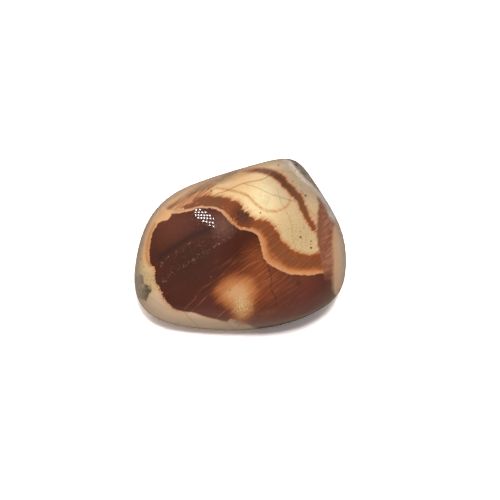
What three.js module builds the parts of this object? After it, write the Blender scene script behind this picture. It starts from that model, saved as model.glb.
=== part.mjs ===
// A tumbled flower jasper: one polished stone, worn on every side, that rests on a small flat spot.
// Millimetres, +Z up. The origin is on the surface it rests on, under the middle of its outline.
import * as THREE from "three";
import { mergeVertices } from "three/addons/utils/BufferGeometryUtils.js";

// The point inside the stone that its worn faces are measured from stands this far above the flat spot.
const CENTRE_HEIGHT = 11.1;

// How crisply one worn face turns into the next: 2 would give an ellipsoid, 40 a cut gem.
const RIDGE_CRISPNESS = 11;

// The slow swell that tumbling leaves in a polished face, and its waves across the stone.
const SWELL_HEIGHT = 0.12;
const SWELL_WAVES = { x: 4.3, y: 3.7, z: 5.2, offset: 1.1 };

// How finely each side of the starting icosahedron is divided.
const SURFACE_DETAIL = 18;

// The faces that tumbling has worn. Azimuth and elevation, in degrees, say which way a face looks:
// azimuth 0 is right, 90 behind, 180 left and 270 in front. Distance is from the centre.
const WORN_FACES = [
  { name: "broad face with the figure", azimuth: 258, elevation: 53, distance: 11.2 },
  { name: "pale shoulder", azimuth: 333, elevation: 66, distance: 12.8 },
  { name: "upper left slope", azimuth: 118, elevation: 54, distance: 13.4 },
  { name: "upper back slope", azimuth: 106, elevation: 26, distance: 13.8 },
  { name: "upper left shoulder", azimuth: 132, elevation: 28, distance: 16.2 },
  { name: "upper left corner", azimuth: 154, elevation: 30, distance: 16.6 },
  { name: "upper right slope", azimuth: 22, elevation: 28, distance: 17.1 },
  { name: "right end, upper", azimuth: 346, elevation: 16, distance: 19.5 },
  { name: "right end, under", azimuth: 3, elevation: -13, distance: 19.8 },
  { name: "left end", azimuth: 180, elevation: 11, distance: 18.3 },
  { name: "left corner, under", azimuth: 213, elevation: -13, distance: 23.6 },
  { name: "worn front edge, left", azimuth: 226, elevation: 12, distance: 20.8 },
  { name: "worn front edge, middle", azimuth: 262, elevation: 13, distance: 17.2 },
  { name: "worn front edge, right", azimuth: 300, elevation: 8, distance: 20.2 },
  { name: "front foot, left", azimuth: 238, elevation: -25, distance: 20.7 },
  { name: "front foot, middle", azimuth: 269, elevation: -23, distance: 15.5 },
  { name: "front foot, right", azimuth: 307, elevation: -37, distance: 16.9 },
  { name: "back", azimuth: 90, elevation: -18, distance: 15.0 },
  { name: "back left", azimuth: 130, elevation: -20, distance: 16.0 },
  { name: "back right", azimuth: 50, elevation: -20, distance: 17.2 },
  { name: "back foot", azimuth: 100, elevation: -56, distance: 14.6 },
  { name: "underside, back", azimuth: 75, elevation: -79, distance: 12.2 },
  { name: "underside, left", azimuth: 190, elevation: -79, distance: 12.2 },
  { name: "underside, right", azimuth: 320, elevation: -79, distance: 12.2 },
];

const POLISHED_JASPER = new THREE.MeshStandardMaterial({
  name: "polished jasper",
  color: 0x7a4a33,
  roughness: 0.12,
  metalness: 0,
});

// The outward direction of a worn face.
function outwardNormal({ azimuth, elevation }) {
  const fromPole = THREE.MathUtils.degToRad(90 - elevation);
  const around = THREE.MathUtils.degToRad(azimuth);
  return new THREE.Vector3(
    Math.sin(fromPole) * Math.cos(around),
    Math.sin(fromPole) * Math.sin(around),
    Math.cos(fromPole),
  );
}

// The distance from the centre to the surface: a power sum of the worn faces, which rounds their ridges.
function wornRadius(direction, faces) {
  let sum = 0;
  for (const { normal, distance } of faces) {
    const nearness = Math.max(direction.dot(normal) / distance, 0);
    sum += nearness ** RIDGE_CRISPNESS;
  }
  return sum ** (-1 / RIDGE_CRISPNESS);
}

// The slow swell of the polish, as a small change of the radius.
function swell(direction) {
  const { x, y, z, offset } = SWELL_WAVES;
  const across = Math.sin(x * direction.x + offset) * Math.sin(y * direction.y - offset);
  const upward = Math.sin(z * direction.z + direction.x + offset);
  return (SWELL_HEIGHT * (across + upward)) / 2;
}

// The stone stops at the plane it rests on, which leaves the flat spot.
function surfacePoint(direction, faces) {
  const radius = wornRadius(direction, faces) + swell(direction);
  const reachesDown = direction.z < 0 ? -CENTRE_HEIGHT / direction.z : Infinity;
  return direction.clone().multiplyScalar(Math.min(radius, reachesDown));
}

function stoneGeometry() {
  const faces = WORN_FACES.map((face) => ({ normal: outwardNormal(face), distance: face.distance }));
  const geometry = new THREE.IcosahedronGeometry(1, SURFACE_DETAIL);
  geometry.deleteAttribute("normal");
  geometry.deleteAttribute("uv");
  const position = geometry.getAttribute("position");
  const direction = new THREE.Vector3();
  for (let i = 0; i < position.count; i++) {
    direction.fromBufferAttribute(position, i).normalize();
    const point = surfacePoint(direction, faces);
    position.setXYZ(i, point.x, point.y, point.z);
  }
  geometry.computeBoundingBox();
  const middle = geometry.boundingBox.getCenter(new THREE.Vector3());
  geometry.translate(-middle.x, -middle.y, CENTRE_HEIGHT);
  const closed = mergeVertices(geometry, 1e-4);
  closed.computeVertexNormals();
  return closed;
}

const stone = new THREE.Mesh(stoneGeometry(), POLISHED_JASPER);
stone.name = "stone";

const flowerJasper = new THREE.Group();
flowerJasper.name = "flower_jasper";
flowerJasper.add(stone);

export default flowerJasper;
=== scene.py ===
"""A tumbled flower jasper: one polished stone with a brown and cream figure, on a pale floor."""

import logging
import math
from dataclasses import dataclass
from enum import Enum

import bpy
import numpy as np
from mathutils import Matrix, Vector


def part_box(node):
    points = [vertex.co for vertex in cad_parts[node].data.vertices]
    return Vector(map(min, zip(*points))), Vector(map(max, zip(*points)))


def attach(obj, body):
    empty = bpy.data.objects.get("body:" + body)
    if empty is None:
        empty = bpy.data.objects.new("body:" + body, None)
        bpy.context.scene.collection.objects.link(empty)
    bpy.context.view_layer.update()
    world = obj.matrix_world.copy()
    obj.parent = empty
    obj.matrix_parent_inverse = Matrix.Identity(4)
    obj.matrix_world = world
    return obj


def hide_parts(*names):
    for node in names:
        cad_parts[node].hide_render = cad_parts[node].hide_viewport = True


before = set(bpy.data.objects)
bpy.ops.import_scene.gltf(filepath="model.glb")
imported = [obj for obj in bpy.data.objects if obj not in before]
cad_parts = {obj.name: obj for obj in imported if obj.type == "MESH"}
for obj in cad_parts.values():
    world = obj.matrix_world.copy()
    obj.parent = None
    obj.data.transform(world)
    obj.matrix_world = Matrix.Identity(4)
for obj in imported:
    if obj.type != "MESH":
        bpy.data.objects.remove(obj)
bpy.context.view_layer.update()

LOG = logging.getLogger("flower_jasper")
MILLIMETRE = 0.001
STUDIO_LIGHT = 1.9  # how many times its own colour a matt surface that looks up gives back
OFFSET_SLACK = 0.25  # mm that an offset blended between two vertices may fall short of its length

Array = np.ndarray
Point = tuple[float, float]
Tone = tuple[float, float, float, float]


@dataclass(frozen=True)
class WornFace:
    """A worn face: the way it looks, in degrees, and its distance from the stone's centre, in mm."""

    azimuth: float
    elevation: float
    distance: float

    def normal(self) -> Array:
        """Returns the unit vector that the face looks along."""
        around = math.radians(self.azimuth)
        above = math.radians(self.elevation)
        level = math.cos(above)
        return np.array([level * math.cos(around), level * math.sin(around), math.sin(above)])


WORN_FACES = (
    WornFace(258, 53, 11.2),  # broad face with the figure
    WornFace(333, 66, 12.8),  # pale shoulder
    WornFace(118, 54, 13.4),  # upper left slope
    WornFace(106, 26, 13.8),  # upper back slope
    WornFace(132, 28, 16.2),  # upper left shoulder
    WornFace(154, 30, 16.6),  # upper left corner
    WornFace(22, 28, 17.1),  # upper right slope
    WornFace(346, 16, 19.5),  # right end, upper
    WornFace(3, -13, 19.8),  # right end, under
    WornFace(180, 11, 18.3),  # left end
    WornFace(213, -13, 23.6),  # left corner, under
    WornFace(226, 12, 20.8),  # worn front edge, left
    WornFace(262, 13, 17.2),  # worn front edge, middle
    WornFace(300, 8, 20.2),  # worn front edge, right
    WornFace(238, -25, 20.7),  # front foot, left
    WornFace(269, -23, 15.5),  # front foot, middle
    WornFace(307, -37, 16.9),  # front foot, right
    WornFace(90, -18, 15.0),  # back
    WornFace(130, -20, 16.0),  # back left
    WornFace(50, -20, 17.2),  # back right
    WornFace(100, -56, 14.6),  # back foot
    WornFace(75, -79, 12.2),  # underside, back
    WornFace(190, -79, 12.2),  # underside, left
    WornFace(320, -79, 12.2),  # underside, right
)


@dataclass(frozen=True)
class TumbledForm:
    """The stone's rounded form, in mm: a power sum of its worn faces, cut off by the flat spot."""

    faces: tuple[WornFace, ...] = WORN_FACES
    centre_height: float = 11.1
    ridge_crispness: float = 11.0
    swell_height: float = 0.12
    swell_waves: tuple[float, float, float] = (4.3, 3.7, 5.2)
    swell_offset: float = 1.1
    divisions: int = 92

    def radius(self, directions: Array) -> Array:
        """Finds how far the surface is from the centre.

        Args:
            directions: unit vectors, one a row.

        Returns:
            The distance along each direction, in mm.
        """
        normals = np.array([face.normal() for face in self.faces])
        distances = np.array([face.distance for face in self.faces])
        nearness = np.maximum(directions @ normals.T / distances, 0.0)
        worn = (nearness**self.ridge_crispness).sum(1) ** (-1.0 / self.ridge_crispness)
        reach = worn + self.swell(directions)
        down = directions[:, 2] < 0.0
        to_floor = np.full(len(directions), np.inf)
        to_floor[down] = -self.centre_height / directions[down, 2]
        return np.minimum(reach, to_floor)

    def swell(self, directions: Array) -> Array:
        """Returns the slow swell of the polish at each direction, in mm."""
        x, y, z = directions.T
        along_x, along_y, along_z = self.swell_waves
        across = np.sin(along_x * x + self.swell_offset) * np.sin(along_y * y - self.swell_offset)
        upward = np.sin(along_z * z + x + self.swell_offset)
        return self.swell_height * (across + upward) / 2.0

    def ball(self) -> tuple[Array, Array]:
        """Divides an icosahedron finely.

        Returns:
            Unit vectors to its corners, one a row, and its triangles.
        """
        golden = (1.0 + math.sqrt(5.0)) / 2.0
        rectangle = [(a, b * golden) for b in (1, -1) for a in (-1, 1)]
        corners = [(a, b, 0.0) for a, b in rectangle]
        corners += [(0.0, a, b) for a, b in rectangle]
        corners += [(b, 0.0, a) for a, b in rectangle]
        corners = np.array(corners)
        gaps = np.linalg.norm(corners[:, None] - corners[None], axis=2)
        touching = np.abs(gaps - 2.0) < 1e-6
        sides = [
            (i, j, k)
            for i in range(12)
            for j in range(i + 1, 12)
            for k in range(j + 1, 12)
            if touching[i, j] and touching[j, k] and touching[i, k]
        ]
        points, triangles = self._divide(corners, sides)
        points /= np.linalg.norm(points, axis=1, keepdims=True)
        return points, triangles

    def _divide(self, corners: Array, sides: list[tuple[int, int, int]]) -> tuple[Array, Array]:
        """Divides each side into small triangles and joins them along the edges they share.

        Args:
            corners: the icosahedron's corners.
            sides: its triangles, in any winding.

        Returns:
            The points and the triangles, wound to face outwards.
        """
        count = self.divisions
        steps = [(row, column) for row in range(count + 1) for column in range(count + 1 - row)]
        place = {step: index for index, step in enumerate(steps)}
        weights = np.array([(count - row - column, row, column) for row, column in steps]) / count
        local = []
        for row, column in steps:
            if row + column < count:
                local.append((place[row, column], place[row + 1, column], place[row, column + 1]))
            if row + column < count - 1:
                local.append((place[row + 1, column], place[row + 1, column + 1], place[row, column + 1]))
        local = np.array(local)
        points = []
        triangles = []
        for number, (i, j, k) in enumerate(sides):
            a, b, c = corners[i], corners[j], corners[k]
            outward = np.dot(np.cross(b - a, c - a), a + b + c) > 0.0
            points.append(weights @ np.array([a, b, c]))
            triangles.append((local if outward else local[:, ::-1]) + number * len(steps))
        points = np.concatenate(points)
        triangles = np.concatenate(triangles)
        _, first, joined = np.unique(np.round(points, 6), axis=0, return_index=True, return_inverse=True)
        return points[first], joined.reshape(-1)[triangles]

    def meet(self, start: Array, rays: Array, reach: float) -> tuple[Array, Array]:
        """Finds where rays from one point meet the surface, and the surface's normals there.

        Args:
            start: the point the rays leave, in mm from the centre.
            rays: unit vectors, one a row.
            reach: how far from the start to look, either side of the centre's distance.

        Returns:
            The points and the outward normals, one a row.
        """
        middle = np.linalg.norm(start)
        near = np.full(len(rays), middle - reach)
        far = np.full(len(rays), middle)
        halvings = 40
        for _ in range(halvings):
            half = (near + far) / 2.0
            inside = self.outside(start + rays * half[:, None]) < 0.0
            far = np.where(inside, half, far)
            near = np.where(inside, near, half)
        points = start + rays * far[:, None]
        step = 0.01
        slopes = [
            self.outside(points + step * axis) - self.outside(points - step * axis) for axis in np.eye(3)
        ]
        normals = np.stack(slopes, 1)
        return points, normals / np.linalg.norm(normals, axis=1, keepdims=True)

    def outside(self, points: Array) -> Array:
        """Returns how far each point is outside the surface, in mm along its own direction."""
        lengths = np.linalg.norm(points, axis=1)
        return lengths - self.radius(points / lengths[:, None])


@dataclass(frozen=True)
class Viewpoint:
    """Where the stone is looked at from: it looks along +Y and down. Lengths are in mm."""

    elevation: float = 52.0
    distance: float = 260.0
    frame_width: float = 90.0
    aim_right: float = 1.7
    aim_up: float = -1.0
    sensor_width: float = 36.0

    def axes(self) -> Array:
        """Returns three rows: the directions to the right, up and towards the viewer."""
        above = math.radians(self.elevation)
        up = (0.0, math.sin(above), math.cos(above))
        towards = (0.0, -math.cos(above), math.sin(above))
        return np.array([(1.0, 0.0, 0.0), up, towards])

    def aim(self) -> Array:
        """Returns the aimed point, in mm from the stone's centre."""
        right, up, _ = self.axes()
        return right * self.aim_right + up * self.aim_up

    def eye(self) -> Array:
        """Returns the viewing point, in mm from the stone's centre."""
        return self.aim() + self.axes()[2] * self.distance

    def on_face(self, points: Array) -> Array:
        """Casts points onto the plane of the figure.

        Args:
            points: places in mm from the stone's centre, one a row.

        Returns:
            Right, up and towards the viewer in mm, one row a point: the first two as they are seen.
        """
        right, up, towards = (points @ self.axes().T).T
        spread = self.distance / (self.distance - towards)
        seen_right = self.aim_right + (right - self.aim_right) * spread
        seen_up = self.aim_up + (up - self.aim_up) * spread
        return np.stack([seen_right, seen_up, towards], 1)

    def rays(self, seen: Array) -> Array:
        """Returns unit vectors from the eye through places on the plane of the figure, in mm."""
        right, up, _ = self.axes()
        targets = seen[:, :1] * right + seen[:, 1:2] * up
        away = targets - self.eye()
        return away / np.linalg.norm(away, axis=1, keepdims=True)

    def place_camera(self, centre: Array) -> None:
        """Puts the scene's camera at the viewing point, given the stone's centre in metres."""
        data = bpy.data.cameras.new("viewpoint")
        data.sensor_width = self.sensor_width
        data.lens = self.sensor_width * self.distance / self.frame_width
        data.clip_start = 0.01
        camera = new_object("viewpoint", data)
        camera.location = centre + self.eye() * MILLIMETRE
        camera.rotation_euler = (math.radians(90.0 - self.elevation), 0.0, 0.0)
        bpy.context.scene.camera = camera


@dataclass(frozen=True)
class Curve:
    """A smooth line on the face through given points, in mm right and up of the stone's centre."""

    points: tuple[Point, ...]
    closed: bool = False
    strength: float = 1.0
    steps: int = 6

    def trace(self) -> Array:
        """Returns points along the curve, close together; a closed one ends where it starts."""
        knots = np.array(self.points)
        if self.closed:
            knots = np.concatenate([knots[-1:], knots, knots[:2]])
        else:
            first = 2.0 * knots[0] - knots[1]
            last = 2.0 * knots[-1] - knots[-2]
            knots = np.concatenate([[first], knots, [last]])
        before, start, end, after = knots[:-3], knots[1:-2], knots[2:-1], knots[3:]
        pieces = []
        for step in range(self.steps):
            t = step / self.steps
            bend = (2.0 * before - 5.0 * start + 4.0 * end - after) * t * t
            twist = (3.0 * start - before - 3.0 * end + after) * t**3
            pieces.append(0.5 * (2.0 * start + (end - before) * t + bend + twist))
        line = np.stack(pieces, 1).reshape(-1, 2)
        return np.concatenate([line, knots[-2:-1]])

    def nearest(self, places: Array) -> tuple[Array, Array]:
        """Finds the nearest point of the curve.

        Args:
            places: points on the face, one a row.

        Returns:
            The offset from each place to the curve, and its length.
        """
        line = self.trace()
        best = np.full(len(places), np.inf)
        offset = np.zeros_like(places)
        for start, end in zip(line[:-1], line[1:]):
            along = end - start
            share = np.clip((places - start) @ along / max(along @ along, 1e-12), 0.0, 1.0)
            gap = start + share[:, None] * along - places
            length = np.einsum("ij,ij->i", gap, gap)
            closer = length < best
            best[closer] = length[closer]
            offset[closer] = gap[closer]
        return offset, np.sqrt(best)

    def depth_inside(self, places: Array) -> Array:
        """Returns how far each place is inside the closed curve, negative outside, in mm."""
        line = self.trace()
        x, y = places.T
        inside = np.zeros(len(places), bool)
        for (ax, ay), (bx, by) in zip(line[:-1], line[1:]):
            if ay == by:
                continue
            spans = (ay > y) != (by > y)
            inside ^= spans & (x < (bx - ax) * (y - ay) / (by - ay) + ax)
        distance = self.nearest(places)[1]
        return np.where(inside, distance, -distance)


# The upper edge of the dark body, from its left end to where it runs into the right band.
BODY_TOP = (
    (-15.2, 3.2), (-14.9, 3.9), (-14.0, 4.2), (-13.0, 4.6), (-12.4, 5.5), (-11.7, 5.7), (-10.3, 6.0),
    (-9.0, 6.3), (-7.9, 6.7), (-6.7, 6.8), (-5.2, 6.7), (-4.3, 6.5), (-3.4, 6.0), (-2.7, 5.3),
    (-1.8, 4.0), (-1.0, 3.3), (-0.2, 2.7), (0.7, 2.6), (1.7, 2.4), (2.5, 2.0), (3.1, 1.5), (3.4, 0.8),
    (3.8, -1.0), (4.3, -2.8), (5.1, -3.6), (6.1, -4.1), (7.2, -4.7), (8.3, -5.2), (9.2, -5.4),
    (10.8, -5.5), (12.8, -5.5), (13.9, -5.3), (14.8, -5.2), (15.5, -5.5),
)
# The rest of its edge: down the right, along the foot and up the left.
BODY_REST = (
    (16.2, -6.4), (16.3, -8.2), (16.9, -8.8), (17.6, -9.8), (20.0, -12.0), (19.0, -19.0), (9.5, -19.0),
    (7.4, -17.6), (4.9, -16.2), (3.4, -15.4), (2.5, -15.0), (1.7, -14.7), (0.7, -14.2), (0.0, -13.8),
    (-0.7, -13.6), (-1.8, -13.5), (-2.5, -14.0), (-4.4, -13.6), (-6.4, -13.1), (-8.0, -12.5),
    (-8.9, -12.3), (-10.1, -12.2), (-12.0, -11.7), (-12.7, -11.0), (-13.4, -10.3), (-14.0, -9.5),
    (-14.5, -7.9), (-15.0, -7.1), (-15.4, -5.7), (-15.5, -4.2), (-16.1, -3.7), (-16.3, -3.1),
    (-16.4, -1.0), (-16.2, 0.6), (-15.8, 2.3),
)
# The line between the pale rim of the body and the brown wave above it.
RIM_TOP = (
    (-14.4, 6.0), (-12.8, 6.2), (-11.1, 6.4), (-9.2, 6.7), (-8.1, 7.0), (-6.8, 7.3), (-6.5, 7.1),
    (-5.2, 7.1), (-4.2, 6.9), (-3.4, 6.5), (-2.7, 6.2), (-2.1, 5.6), (-1.7, 4.9), (-0.9, 4.1),
    (-0.3, 3.3), (0.7, 2.9), (1.7, 2.9), (2.7, 2.6), (3.3, 2.2), (3.9, 1.3), (4.5, 0.5), (4.6, -0.5),
    (5.1, -1.5), (5.8, -2.3), (6.7, -3.2), (7.8, -4.0), (8.9, -4.6), (10.3, -4.8), (11.7, -4.8),
    (13.5, -4.8), (14.8, -4.8),
)
# The feathery upper edge of the brown wave.
WAVE_TOP = (
    (-11.1, 6.6), (-9.0, 7.6), (-8.5, 8.1), (-7.8, 8.5), (-6.7, 8.8), (-5.4, 8.8), (-4.0, 8.7),
    (-2.7, 8.5), (-1.6, 8.1), (-0.6, 7.7), (0.1, 7.1), (0.4, 6.3), (1.5, 5.5), (1.7, 5.1), (2.7, 4.5),
    (3.6, 4.4), (5.0, 4.3), (5.8, 3.4), (6.4, 2.7), (7.1, 1.6), (7.8, 0.4), (8.5, -0.3), (9.4, -1.0),
    (10.5, -1.5), (11.4, -1.7), (12.5, -1.9), (13.5, -1.7), (14.2, -1.4), (14.8, -2.5),
)


class Region(Enum):
    """The coloured areas of the figure, each a closed curve."""

    BODY = Curve(BODY_TOP + BODY_REST, closed=True)
    RIM = Curve(RIM_TOP + ((15.0, -5.8), (8.0, -7.0), (2.0, 0.0), (-4.0, 3.0), (-14.6, 3.4)), closed=True)
    WAVE = Curve(WAVE_TOP + RIM_TOP[:2:-1], closed=True)
    CRESCENT = Curve(
        (
            (0.2, 13.3), (1.7, 13.5), (3.5, 13.7), (5.1, 13.6), (6.4, 13.2), (7.9, 12.3), (8.3, 11.6),
            (9.2, 10.7), (10.4, 9.4), (11.0, 8.7), (11.7, 6.9), (12.5, 4.9), (13.3, 3.5), (13.5, 2.6),
            (13.1, 2.5), (12.5, 3.3), (11.9, 4.2), (11.4, 5.2), (10.8, 6.3), (10.5, 7.3), (9.9, 8.1),
            (9.0, 8.9), (8.3, 9.8), (7.5, 10.5), (6.8, 11.3), (6.1, 11.9), (4.5, 12.7), (3.1, 13.0),
            (1.7, 13.0), (0.2, 13.1),
        ),
        closed=True,
    )
    RIGHT_BAND = Curve(
        (
            (13.9, 8.6), (14.1, 7.5), (14.0, 6.0), (13.9, 4.6), (13.8, 1.9), (13.9, 0.5), (14.1, -0.9),
            (14.7, -3.3), (15.3, -5.8), (15.6, -8.4), (16.2, -8.2), (16.2, -1.9), (16.0, -0.3),
            (16.1, 1.9), (16.2, 3.3), (16.8, 4.6), (15.9, 6.3), (15.1, 8.2),
        ),
        closed=True,
    )
    RIGHT_MARGIN = Curve(
        (
            (15.1, 8.2), (15.9, 6.3), (16.8, 4.6), (16.2, 3.3), (16.1, 1.9), (16.0, -0.3), (16.2, -1.9),
            (16.2, -8.2), (16.9, -8.8), (17.6, -9.8), (22.0, -13.0), (23.0, 0.0), (20.0, 12.0),
            (15.6, 10.5),
        ),
        closed=True,
    )
    SPOT = Curve(
        (
            (-3.5, -8.5), (-2.6, -7.5), (-1.3, -6.7), (0.3, -6.6), (1.7, -7.1), (2.2, -8.4), (1.9, -9.6),
            (1.5, -10.9), (1.2, -12.0), (0.3, -13.0), (-0.6, -12.1), (-1.2, -11.1), (-2.4, -10.3),
            (-3.3, -9.4),
        ),
        closed=True,
    )
    QUARTZ = Curve(
        (
            (-20.0, -6.6), (-18.5, -5.7), (-17.9, -5.6), (-17.6, -6.1), (-17.6, -6.8), (-17.0, -7.4),
            (-16.3, -7.7), (-16.1, -8.3), (-16.6, -8.9), (-16.9, -9.5), (-17.0, -10.0), (-18.0, -9.6),
            (-18.7, -9.3), (-20.0, -8.8),
        ),
        closed=True,
    )
    # CORNER is painted reflection: the dark grey that the upper right facet mirrors from the shadowed
    # floor behind the stone.
    CORNER = Curve(
        (
            (7.8, 15.8), (9.0, 14.9), (9.7, 13.9), (10.4, 13.1), (11.1, 12.2), (12.1, 11.3),
            (13.0, 10.6), (14.0, 9.6), (15.0, 8.3), (15.9, 6.9), (17.2, 4.6), (21.0, 6.0), (18.0, 17.0),
            (8.0, 19.0),
        ),
        closed=True,
    )


class Lines(Enum):
    """The thin lines of the figure, grouped by colour."""

    RING = (
        Curve(
            (
                (-5.4, 10.4), (-3.6, 10.1), (-2.0, 9.8), (-0.6, 9.5), (1.0, 8.9), (1.8, 8.3), (2.4, 7.6),
                (3.2, 6.9), (4.2, 6.3), (5.1, 6.0), (6.3, 6.0), (7.2, 6.2), (8.1, 6.7), (8.6, 7.3),
                (8.9, 8.0),
            )
        ),
        Curve(((14.3, -1.2), (14.4, -2.2), (14.6, -3.3), (14.8, -4.1)), strength=0.6),
    )
    LEFT = (
        Curve(((-15.3, 3.9), (-16.1, 2.4), (-16.7, 0.6), (-16.9, -1.4), (-16.8, -2.8), (-16.3, -3.8))),
    )
    STRIP = (
        Curve(
            (
                (-13.0, 6.5), (-12.2, 6.9), (-11.4, 7.4), (-10.3, 8.1), (-9.2, 8.8), (-8.2, 9.5),
                (-7.2, 10.2), (-6.1, 10.7), (-4.8, 11.3), (-3.6, 11.7), (-2.6, 12.3), (-1.0, 13.2),
            )
        ),
    )
    STRIP_INNER = (
        Curve(((-12.2, 6.5), (-10.3, 7.6), (-9.0, 8.4), (-7.5, 9.1), (-6.1, 9.6), (-5.4, 10.3))),
    )
    CRACKS = (
        Curve(
            (
                (-4.9, 8.7), (-4.0, 9.2), (-3.0, 9.5), (-2.0, 9.9), (-0.1, 10.8), (1.7, 11.3),
                (3.5, 11.6), (4.5, 12.0), (5.1, 12.5), (5.4, 13.1),
            )
        ),
        Curve(
            (
                (0.9, 10.8), (2.2, 10.5), (3.5, 10.0), (4.5, 9.5), (5.4, 9.1), (6.7, 8.7), (7.5, 8.4),
                (8.9, 8.0), (10.0, 7.6),
            ),
            strength=0.6,
        ),
        Curve(
            (
                (6.5, 10.2), (6.9, 8.9), (7.2, 7.8), (7.8, 6.7), (8.3, 5.8), (8.8, 4.7), (9.2, 3.3),
                (9.3, 1.9), (9.6, 0.5), (10.0, -0.9),
            ),
            strength=0.45,
        ),
        Curve(((6.4, 13.5), (7.8, 13.2), (9.2, 12.9), (10.0, 12.3), (10.8, 11.9)), strength=0.5),
        Curve(((11.8, 6.6), (12.6, 6.0), (13.3, 5.3), (13.9, 4.7)), strength=0.6),
        Curve(((16.9, 4.0), (17.5, 2.7), (17.9, 1.7), (18.3, 1.6)), strength=0.6),
        Curve(((-10.0, -12.3), (-9.3, -13.2), (-8.4, -14.0), (-7.5, -14.9)), strength=0.8),
        Curve(((-2.5, -14.0), (-1.7, -14.7), (-1.0, -15.2)), strength=0.7),
        Curve(((-16.3, -9.5), (-15.1, -10.4), (-13.7, -11.4), (-12.9, -11.8)), strength=0.4),
    )
    STREAKS = (
        Curve(
            (
                (-8.9, -12.2), (-8.2, -11.4), (-7.3, -10.6), (-6.5, -9.7), (-5.9, -9.1), (-5.1, -8.6),
                (-4.0, -7.9), (-2.9, -7.1), (-1.8, -6.4), (-0.4, -5.4), (1.1, -4.0), (2.4, -3.3),
                (3.5, -2.8),
            )
        ),
        Curve(
            (
                (-10.1, -11.7), (-9.4, -10.9), (-8.3, -9.9), (-8.0, -9.2), (-7.3, -8.4), (-6.6, -7.7),
                (-5.4, -7.0), (-4.0, -6.0), (-2.9, -5.2),
            ),
            strength=0.7,
        ),
        Curve(
            (
                (-4.4, -13.4), (-3.7, -12.7), (-2.9, -12.0), (-1.9, -11.1), (-1.0, -10.3), (1.0, -8.8),
                (2.4, -7.9), (3.5, -7.2), (4.5, -6.6), (5.4, -5.9), (7.1, -4.7),
            )
        ),
        Curve(((5.0, -8.3), (6.1, -7.3), (7.2, -6.6), (8.5, -5.4)), strength=0.8),
        Curve(((-1.9, -13.2), (-1.4, -12.7)), strength=0.7),
        Curve(((5.3, 0.0), (6.3, 0.8)), strength=0.6),
        Curve(((8.3, -3.6), (9.5, -2.8), (10.4, -1.9)), strength=0.8),
        Curve(((10.4, -4.4), (11.4, -3.6), (12.3, -2.8)), strength=0.7),
        Curve(((-0.1, -3.1), (1.3, -2.4), (2.6, -1.7)), strength=0.5),
        Curve(((0.1, -1.5), (1.7, -1.0)), strength=0.4),
        Curve(((6.2, -0.4), (7.6, 0.3)), strength=0.6),
        Curve(((1.2, -12.3), (2.4, -11.6)), strength=0.6),
        Curve(((7.5, -8.4), (9.3, -7.3)), strength=0.4),
        Curve(((3.9, -10.3), (6.2, -9.2)), strength=0.4),
    )
    DARK_CRACK = (
        Curve(
            (
                (4.2, -2.8), (5.0, -3.6), (5.2, -4.7), (5.5, -5.8), (5.6, -7.2), (5.4, -7.9),
                (5.8, -8.7), (6.3, -9.5), (6.4, -10.2), (6.3, -11.3),
            )
        ),
    )
    FLECKS = (
        Curve(((-14.5, -3.1), (-9.0, -0.6), (-4.6, 1.3)), strength=0.9),
        Curve(((-13.9, -6.2), (-8.5, -2.6), (-3.8, 0.3), (-0.2, 2.7))),
        Curve(((-11.5, -8.0), (-6.5, -5.2)), strength=0.4),
        Curve(((-3.8, 1.0), (-2.5, 3.0), (-1.3, 4.8)), strength=0.9),
    )
    # SHADE is painted shade: the dark edge below the painted reflection on the upper left of the body.
    SHADE = (Curve(((-14.5, -2.4), (-12.7, -1.0), (-10.7, 0.3), (-8.7, 1.5), (-6.9, 2.4), (-5.6, 2.8))),)


class Spots(Enum):
    """Small spots of the figure: right and up of the stone's centre, and radius, in mm."""

    DARK = (
        (-5.3, 9.7, 0.16), (10.8, 1.3, 0.2), (12.7, 0.6, 0.14), (12.7, -0.6, 0.2), (11.7, 8.8, 0.2),
        (10.9, 9.6, 0.09), (10.9, 10.7, 0.09), (9.4, 11.4, 0.12), (6.8, 14.3, 0.14), (3.6, 5.7, 0.14),
        (1.3, 6.6, 0.1), (6.4, 3.2, 0.12), (-17.6, 0.2, 0.14), (-17.9, -2.6, 0.14), (-17.4, -4.0, 0.1),
        (-1.9, -8.2, 0.1), (-4.5, 10.8, 0.09), (11.4, 3.0, 0.1), (14.5, -10.4, 0.2),
    )
    PALE = (
        (-8.5, -2.8, 0.2), (-3.9, 0.1, 0.2), (-9.1, 0.3, 0.14), (-9.4, 0.1, 0.12), (-13.0, -2.2, 0.14),
        (-11.6, -1.2, 0.1), (-14.1, -3.3, 0.16), (-14.3, -4.0, 0.12), (-13.9, -6.7, 0.14),
        (-13.4, -6.6, 0.12), (-5.4, -5.8, 0.13), (-3.1, 4.1, 0.12), (-3.3, 2.6, 0.12), (-1.5, 2.6, 0.12),
        (-1.9, 1.2, 0.12), (-3.0, 0.8, 0.12), (-4.6, -0.3, 0.12), (-4.0, 1.4, 0.12), (-10.2, -3.9, 0.12),
        (-6.8, -1.5, 0.1),
    )


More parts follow.
